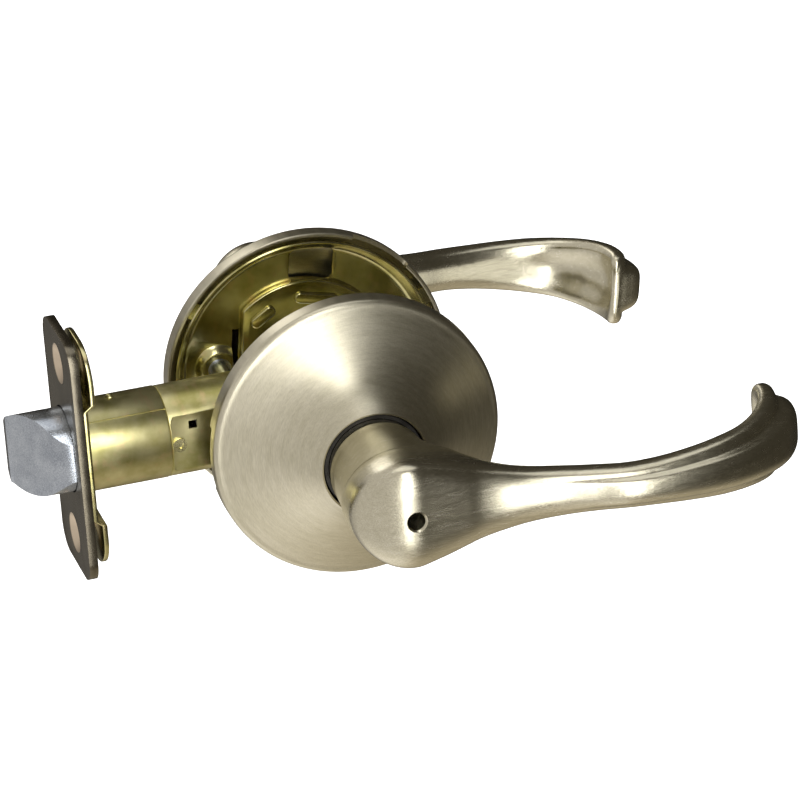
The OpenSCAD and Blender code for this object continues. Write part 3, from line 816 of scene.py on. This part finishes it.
def faceplateShadedNickel(name):    # nickel painted dark as painted shade, with a painted highlight of pale tan in the screw countersinks
    paint = Paint(name)
    x = paint.add("SeparateXYZ", inputs={0: paint.place}, out="X")
    y, z = Term(paint, x.socket.node.outputs["Y"]), Term(paint, x.socket.node.outputs["Z"])
    reach = paint.add("Math", {"operation": "ABSOLUTE"}, {0: z}) - latch["screwPitch"] / 2 * mm
    radius = (y * y + reach * reach) ** 0.5
    # where the painted highlight goes: the walls of the countersinks
    sinkHighlightMask = paint.between((latch["sink"] + 0.1) * mm, (latch["sink"] - 0.2) * mm, radius)
    sinkHighlightMask = sinkHighlightMask * paint.between((plateFront + 0.01) * mm, (plateFront + 0.15) * mm, x)
    grain = paint.noise(3000, (1, 0.2, 1))
    clouds = paint.noise(220)
    tone = paint.between(0.3, 0.7, grain * 0.5 + clouds * 0.5)
    # painted shade: dark nickel tones over the whole faceplate
    colour = paint.blend(tone, tones["faceShadeDark"], tones["faceShadeLight"])
    # painted highlight: pale tan on the countersink walls
    colour = paint.blend(sinkHighlightMask, colour, tones["sinkHighlight"])
    return paint.finish(colour, 0.2 + 0.12 * clouds + 0.15 * sinkHighlightMask, grain, 0.008)


def blackNylon(name):
    paint = Paint(name)
    grain = paint.noise(2500, detail=3)
    colour = paint.blend(paint.between(0.4, 0.6, paint.noise(200)), tones["nylonDark"], tones["nylonLight"])
    return paint.finish(colour, 0.42 + 0.15 * grain, grain, 0.03, metallic=0.0)


satinRound = brushedNickel("satinNickelRound", True)
satinLong = brushedNickel("satinNickelLong", False)
yellowZinc = chromate("yellowChromate", 0.13)
tubeZinc = chromate("tubeChromate", 0.27)
boltZinc = castZinc("boltZinc")
shadedNickel = faceplateShadedNickel("faceplateShadedNickel")
brightZinc = plainSteel("brightZinc", (0.66, 0.68, 0.70), (0.50, 0.52, 0.54), 0.24)
springSteel = plainSteel("springSteel", (0.50, 0.50, 0.51), (0.34, 0.34, 0.35), 0.3)
steel = plainSteel("plainSteel", (0.55, 0.56, 0.57), (0.40, 0.41, 0.42), 0.3)
nylon = blackNylon("blackNylon")

slotPaint = {
    "satin_nickel": satinLong,
    "faceplate_nickel": shadedNickel,
    "yellow_zinc": yellowZinc,
    "bright_zinc": brightZinc,
    "bolt_zinc": boltZinc,
    "plain_steel": steel,
    "spring_steel": springSteel,
    "black_nylon": nylon,
}
for part in frame["record"]["subparts"]:
    node = frame["nodes"][part["node"]]
    for slot in node.material_slots:
        slot.material = slotPaint[part["material_slot"]]


def fit(piece, body, slotName, material, *nodes):
    piece.data.materials.clear()
    piece.data.materials.append(material)
    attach(piece, body)
    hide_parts(*nodes)


fit(outsideLever, "outside_handle", "satin_nickel", satinLong, "outside_lever")
fit(insideLever, "inside_handle", "satin_nickel", satinLong, "inside_lever")
fit(outsideRose, "chassis", "satin_nickel", satinRound, "outside_rose")
fit(insideRose, "chassis", "satin_nickel", satinRound, "inside_rose")
fit(outsidePlate, "chassis", "yellow_zinc", yellowZinc, "outside_plate")
fit(insidePlate, "chassis", "yellow_zinc", yellowZinc, "inside_plate")
fit(outsideCover, "chassis", "yellow_zinc", yellowZinc, "outside_cage_cover")
fit(insideCover, "chassis", "yellow_zinc", yellowZinc, "inside_cage_cover")
fit(faceplate, "chassis", "faceplate_nickel", shadedNickel, "faceplate")
fit(backPlate, "chassis", "yellow_zinc", yellowZinc, "back_plate")
fit(latchCase, "chassis", "yellow_zinc", tubeZinc, "latch_case")
fit(latchBolt, "bolt", "bolt_zinc", boltZinc, "latch_bolt")
fit(latchTube, "chassis", "yellow_zinc", tubeZinc, "latch_tube")
print("materials made")


shot = {
    "azimuth": -14.849, "elevation": 25.149, "roll": -4.318,
    "place": (-306.1, -1215.45, 586.8),
    "lens": 280.7,
    "floor": -86,                         # clears the levers when they are turned down
}
azimuth, elevation = math.radians(shot["azimuth"]), math.radians(shot["elevation"])
level = math.cos(elevation)
back = Vector((math.sin(azimuth) * level, -math.cos(azimuth) * level, math.sin(elevation)))
cameraData = bpy.data.cameras.new("camera")
cameraData.sensor_width = 36
cameraData.lens = shot["lens"]
cameraData.clip_start, cameraData.clip_end = 0.05, 20
camera = bpy.data.objects.new("camera", cameraData)
bpy.context.scene.collection.objects.link(camera)
camera.location = Vector(shot["place"]) * mm
camera.rotation_mode = "QUATERNION"
roll = Quaternion((0, 0, 1), math.radians(shot["roll"]))
camera.rotation_quaternion = (-back).to_track_quat("-Z", "Y") @ roll
bpy.context.scene.camera = camera

clearSelection()
bpy.ops.mesh.primitive_plane_add(size=6, location=(0, 0, shot["floor"] * mm))
floor = named("floor")
floorPaint = Paint("floorPaper")
floorTone = floorPaint.blend(floorPaint.noise(3), (0.93, 0.93, 0.93), (0.95, 0.95, 0.95))
floorPaint.shader.inputs["Emission Color"].default_value = (1, 1, 1, 1)
floor.data.materials.append(floorPaint.finish(floorTone, 0.9, metallic=0.0, **{"Emission Strength": 0.55}))
floor.visible_glossy = False      # the metal doesn't mirror it
floor.visible_shadow = False

softBoxes = {   # place, size, brightness, colour, and the pieces it lights when it isn't all of them
    "frontStrip": ((-0.075, -1.5, 0.42), (0.46, 3.0), 3.8, (1, 0.99, 0.96), ()),
    "overhead": ((0.1, 0.1, 1.6), (1.2, 0.9), 0.9, (1, 0.99, 0.97), ()),
    "backLeft": ((-0.30, 1.35, 0.80), (0.5, 0.5), 1.6, (1, 0.97, 0.93), ()),
    "tubeBox": ((0.066, -0.448, 0.230), (0.20, 0.26), 5.5, (1, 0.99, 0.95), (latchTube, latchCase)),
    "rearBox": ((0.18, -0.173, -0.11), (0.2, 0.2), 0.9, (1, 0.97, 0.88), (insideLever,)),
}
for name, (place, size, brightness, colour, lit) in softBoxes.items():
    data = bpy.data.lights.new(name, "AREA")
    data.shape, data.size, data.size_y = "RECTANGLE", size[0], size[1]
    data.energy, data.color = brightness * math.pi * size[0] * size[1], colour
    lamp = bpy.data.objects.new(name, data)
    bpy.context.scene.collection.objects.link(lamp)
    lamp.location = place
    lamp.rotation_mode = "QUATERNION"
    lamp.rotation_quaternion = (-Vector(place)).to_track_quat("-Z", "Y")
    lamp.visible_camera = False
    if lit:
        lamp.light_linking.receiver_collection = bpy.data.collections.new(name + "Lights")
        for piece in lit:
            lamp.light_linking.receiver_collection.objects.link(piece)
ceiling = bpy.data.objects.new("ceiling", bpy.data.lights.new("ceiling", "SUN"))
bpy.context.scene.collection.objects.link(ceiling)
ceiling.data.energy, ceiling.data.angle = 2.6, math.radians(120)
ceiling.visible_glossy = False    # for the floor and the nylon, since metal doesn't mirror it

studio = {"left": 0.58, "right": 0.045, "below": 0.40, "back": 0.35}
world = bpy.data.worlds.new("studio")
bpy.context.scene.world = world
world.use_nodes = True
sky = Nodes(world.node_tree, "Generated")
direction = sky.add("SeparateXYZ", inputs={0: sky.place}, out="X")
height = Term(sky, direction.socket.node.outputs["Z"])
depth = Term(sky, direction.socket.node.outputs["Y"])
leftness = sky.between(0.16, -0.26, direction)
below = sky.between(-0.5, -0.85, height)
behind = sky.between(0.3, 0.85, depth) * sky.between(0.45, 0.0, height)    # dark low down behind the lock
brightness = studio["right"] + leftness * (studio["left"] - studio["right"]) + below * studio["below"]
brightness = brightness * (1 - behind * (1 - studio["back"]))
background = world.node_tree.nodes["Background"]
sky.feed(background.inputs["Color"], sky.blend(leftness, (1.0, 0.88, 0.66), (1.0, 0.95, 0.88)))
sky.feed(background.inputs["Strength"], brightness)
bpy.context.scene.view_settings.view_transform = "Standard"
print("camera and light set")
